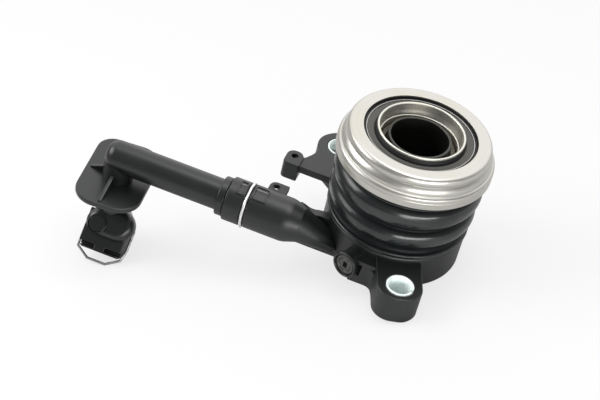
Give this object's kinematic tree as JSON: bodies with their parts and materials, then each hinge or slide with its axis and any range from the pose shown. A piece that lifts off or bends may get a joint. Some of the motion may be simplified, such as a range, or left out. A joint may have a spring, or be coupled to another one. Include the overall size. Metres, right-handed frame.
{
  "type": "clutch release bearing",
  "caption": "Hydraulic clutch release bearing: annular slave cylinder with thrust bearing, bellows boot, fixing ears and plastic inlet pipe.",
  "frame": {"origin": "on the bearing axis, in the plane of the mounting face", "axes": "+Z along the bearing axis towards the thrust face, inlet pipe along -X, plugged boss and front ear towards -Y"},
  "size_m": [0.1703, 0.0929, 0.1007],
  "materials": {
    "housing_plastic": "moulded, glass filled",
    "sleeve_steel": "drawn",
    "bush_steel": "zinc plated",
    "plug_plastic": "moulded",
    "piston_plastic": "moulded",
    "seal_rubber": "matt",
    "ring_steel": "turned and ground",
    "ball_steel": "polished",
    "cage_plastic": "moulded",
    "shell_steel": "pressed",
    "boot_rubber": "glossy moulded",
    "spring_steel": "wound",
    "pipe_plastic": "moulded, glass filled",
    "clip_steel": "bright wire",
    "connector_plastic": "moulded, glass filled"
  },
  "bodies": {
    "base": {"housing": "housing_plastic", "guide_sleeve": "sleeve_steel", "front_ear_bush": "bush_steel", "rear_ear_bush": "bush_steel", "channel_plug": "plug_plastic", "inlet_pipe": "pipe_plastic", "pipe_o_ring": "seal_rubber", "pipe_clip": "clip_steel", "line_connector": "connector_plastic", "line_o_ring": "seal_rubber", "dust_boot": "boot_rubber", "preload_spring": "spring_steel"},
    "piston_unit": {"piston": "piston_plastic", "piston_seal": "seal_rubber", "bearing_carrier": "piston_plastic", "inner_ring": "ring_steel", "rear_seal": "seal_rubber"},
    "outer_ring": {"thrust_ring": "ring_steel", "front_seal_shell": "shell_steel", "front_seal_lip": "seal_rubber"},
    "cage_unit": {"ball_cage": "cage_plastic", "ball_01": "ball_steel", "ball_02": "ball_steel", "ball_03": "ball_steel", "ball_04": "ball_steel", "ball_05": "ball_steel", "ball_06": "ball_steel", "ball_07": "ball_steel", "ball_08": "ball_steel", "ball_09": "ball_steel", "ball_10": "ball_steel", "ball_11": "ball_steel", "ball_12": "ball_steel"},
    "connector_clip": {"line_clip": "clip_steel"}
  },
  "joints": [
    {"name": "piston_slide", "type": "slide", "parent": "base", "child": "piston_unit", "axis": [0, 0, 1], "range_m": [-0.012, 0], "stiffness_N_per_m": 2500, "springref_m": 0.012, "deforming": ["dust_boot", "preload_spring"]},
    {"name": "thrust_ring_spin", "type": "hinge", "parent": "piston_unit", "child": "outer_ring", "pos_m": [0, 0, 0.0532], "axis": [0, 0, 1], "continuous": true},
    {"name": "cage_spin", "type": "hinge", "parent": "piston_unit", "child": "cage_unit", "pos_m": [0, 0, 0.0532], "axis": [0, 0, 1], "continuous": true},
    {"name": "line_clip_slide", "type": "slide", "parent": "base", "child": "connector_clip", "axis": [0, -0.7071, -0.7071], "range_m": [0, 0.004]}
  ],
  "couplings": [
    {"joint": "cage_spin", "follows": "thrust_ring_spin", "ratio": 0.575}
  ]
}
